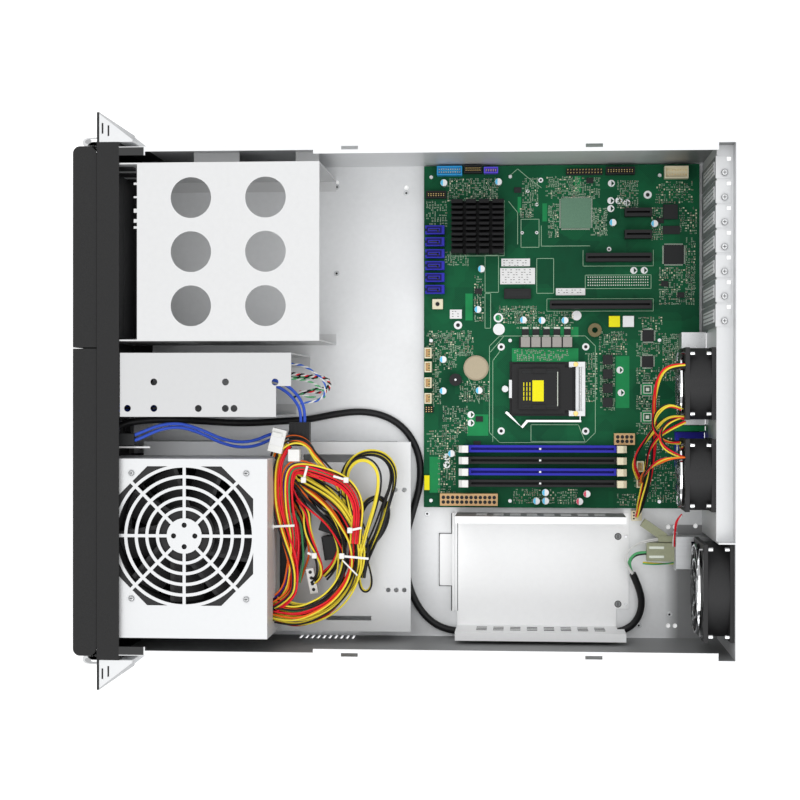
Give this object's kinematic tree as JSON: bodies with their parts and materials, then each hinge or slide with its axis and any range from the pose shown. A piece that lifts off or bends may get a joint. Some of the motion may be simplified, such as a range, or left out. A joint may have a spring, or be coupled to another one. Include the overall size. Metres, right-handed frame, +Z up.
{
  "type": "rackmount server case",
  "caption": "Open-topped rackmount server case with front doors, drive cage, power supply, board, fans and cables.",
  "frame": {"origin": "on the case's underside, midway between the side walls and between the doors' front faces and the rear rim", "axes": "+Z up, -Y towards the front doors, +X towards the power supply side"},
  "size_m": [0.4826, 0.549, 0.132],
  "materials": {
    "zinc_steel": "bright zinc-plated sheet",
    "dark_paint": "dark grey powder coat",
    "cover_steel": "mid-grey coat",
    "chrome": "polished",
    "screw_steel": "plated screws",
    "fan_black": "moulded",
    "board_green": "laminate with solder mask",
    "connector_black": "moulded",
    "connector_blue": "moulded",
    "connector_cream": "moulded",
    "white_plastic": "moulded",
    "lead_rubber": "cord sheath",
    "blue_sheath": "cord sheath",
    "wire_yellow": "wire insulation",
    "wire_green": "wire insulation",
    "heatsink_black": "black anodised"
  },
  "bodies": {
    "case": {"chassis_base": "zinc_steel", "rear_panel": "zinc_steel", "slot_covers": "cover_steel", "screws_and_studs": "screw_steel", "front_frame": "dark_paint", "bay_covers": "connector_black", "front_ports": "connector_black", "rack_ears": "zinc_steel", "handles": "chrome", "drive_cage": "zinc_steel", "hard_drive_bracket": "zinc_steel", "psu_shelf": "zinc_steel", "psu_case": "zinc_steel", "psu_board": "board_green", "psu_fan_frame": "fan_black", "disk_tray": "zinc_steel", "rear_fan_frames": "fan_black", "fan_guards": "chrome", "ac_inlet": "zinc_steel", "motherboard": "board_green", "cpu_socket": "screw_steel", "dimm_slots": "connector_blue", "chipset_heatsink": "heatsink_black", "expansion_slots": "connector_black", "sata_ports": "connector_blue", "board_connectors": "connector_cream", "capacitors": "screw_steel", "board_parts": "connector_black", "rear_io_ports": "screw_steel", "ac_lead": "lead_rubber", "inlet_wires": "wire_green", "bracket_port_cable": "blue_sheath", "side_port_cable": "blue_sheath", "panel_wires": "blue_sheath", "supply_wire_hank": "wire_yellow", "supply_wire_loop": "wire_yellow", "cable_plugs": "white_plastic", "spare_fan_wires": "lead_rubber", "header_fan_wires": "lead_rubber"},
    "right_door": {"right_door": "dark_paint"},
    "left_door": {"left_door": "dark_paint"},
    "right_lock": {"right_door_lock": "chrome"},
    "left_lock": {"left_door_lock": "chrome"},
    "power_button": {"power_button": "connector_black"},
    "reset_button": {"reset_button": "connector_black"},
    "psu_rotor": {"psu_fan_rotor": "fan_black"},
    "left_rotor": {"left_fan_rotor": "fan_black"},
    "middle_rotor": {"middle_fan_rotor": "fan_black"},
    "right_rotor": {"right_fan_rotor": "fan_black"},
    "load_plate": {"socket_load_plate": "screw_steel", "socket_cover": "connector_black"},
    "lever": {"socket_lever": "screw_steel"},
    "front_latch_1": {"front_latch_1": "white_plastic"},
    "rear_latch_1": {"rear_latch_1": "connector_cream"},
    "front_latch_2": {"front_latch_2": "white_plastic"},
    "rear_latch_2": {"rear_latch_2": "connector_cream"},
    "front_latch_3": {"front_latch_3": "white_plastic"},
    "rear_latch_3": {"rear_latch_3": "connector_cream"},
    "front_latch_4": {"front_latch_4": "white_plastic"},
    "rear_latch_4": {"rear_latch_4": "connector_cream"}
  },
  "joints": [
    {"name": "right_door_hinge", "type": "hinge", "parent": "case", "child": "right_door", "pos_m": [0.2045, -0.264, 0.066], "axis": [0, 0, 1], "range_deg": [0, 90]},
    {"name": "left_door_hinge", "type": "hinge", "parent": "case", "child": "left_door", "pos_m": [-0.2045, -0.264, 0.066], "axis": [0, 0, -1], "range_deg": [0, 90]},
    {"name": "right_lock_turn", "type": "hinge", "parent": "right_door", "child": "right_lock", "pos_m": [-0.0284, -0.266, 0.066], "axis": [0, -1, 0], "range_deg": [0, 90]},
    {"name": "left_lock_turn", "type": "hinge", "parent": "left_door", "child": "left_lock", "pos_m": [-0.0604, -0.266, 0.066], "axis": [0, 1, 0], "range_deg": [0, 90]},
    {"name": "power_button_press", "type": "slide", "parent": "case", "child": "power_button", "axis": [0, 1, 0], "range_m": [0, 0.0015], "stiffness_N_per_m": 400},
    {"name": "reset_button_press", "type": "slide", "parent": "case", "child": "reset_button", "axis": [0, 1, 0], "range_m": [0, 0.0015], "stiffness_N_per_m": 400},
    {"name": "psu_fan_spin", "type": "hinge", "parent": "case", "child": "psu_rotor", "pos_m": [0.1126, -0.1813, 0.113], "axis": [0, 0, 1], "continuous": true},
    {"name": "left_fan_spin", "type": "hinge", "parent": "case", "child": "left_rotor", "pos_m": [-0.0149, 0.247, 0.0835], "axis": [0, 1, 0], "continuous": true},
    {"name": "middle_fan_spin", "type": "hinge", "parent": "case", "child": "middle_rotor", "pos_m": [0.0612, 0.247, 0.0835], "axis": [0, 1, 0], "continuous": true},
    {"name": "right_fan_spin", "type": "hinge", "parent": "case", "child": "right_rotor", "pos_m": [0.157, 0.26, 0.087], "axis": [0, 1, 0], "continuous": true},
    {"name": "lever_turn", "type": "hinge", "parent": "case", "child": "lever", "pos_m": [-0.0108, 0.1515, 0.0125], "axis": [-1, 0, 0], "range_deg": [0, 115]},
    {"name": "load_plate_turn", "type": "hinge", "parent": "case", "child": "load_plate", "pos_m": [-0.0108, 0.146, 0.0137], "axis": [-1, 0, 0], "range_deg": [0, 100]},
    {"name": "front_latch_1_turn", "type": "hinge", "parent": "case", "child": "front_latch_1", "pos_m": [0.0423, 0.051, 0.0126], "axis": [1, 0, 0], "range_deg": [0, 30]},
    {"name": "rear_latch_1_turn", "type": "hinge", "parent": "case", "child": "rear_latch_1", "pos_m": [0.0423, 0.185, 0.0126], "axis": [-1, 0, 0], "range_deg": [0, 30]},
    {"name": "front_latch_2_turn", "type": "hinge", "parent": "case", "child": "front_latch_2", "pos_m": [0.0525, 0.051, 0.0126], "axis": [1, 0, 0], "range_deg": [0, 30]},
    {"name": "rear_latch_2_turn", "type": "hinge", "parent": "case", "child": "rear_latch_2", "pos_m": [0.0525, 0.185, 0.0126], "axis": [-1, 0, 0], "range_deg": [0, 30]},
    {"name": "front_latch_3_turn", "type": "hinge", "parent": "case", "child": "front_latch_3", "pos_m": [0.0627, 0.051, 0.0126], "axis": [1, 0, 0], "range_deg": [0, 30]},
    {"name": "rear_latch_3_turn", "type": "hinge", "parent": "case", "child": "rear_latch_3", "pos_m": [0.0627, 0.185, 0.0126], "axis": [-1, 0, 0], "range_deg": [0, 30]},
    {"name": "front_latch_4_turn", "type": "hinge", "parent": "case", "child": "front_latch_4", "pos_m": [0.0729, 0.051, 0.0126], "axis": [1, 0, 0], "range_deg": [0, 30]},
    {"name": "rear_latch_4_turn", "type": "hinge", "parent": "case", "child": "rear_latch_4", "pos_m": [0.0729, 0.185, 0.0126], "axis": [-1, 0, 0], "range_deg": [0, 30]}
  ],
  "couplings": [
    {"joint": "load_plate_turn", "follows": "lever_turn", "ratio": 0.869}
  ]
}
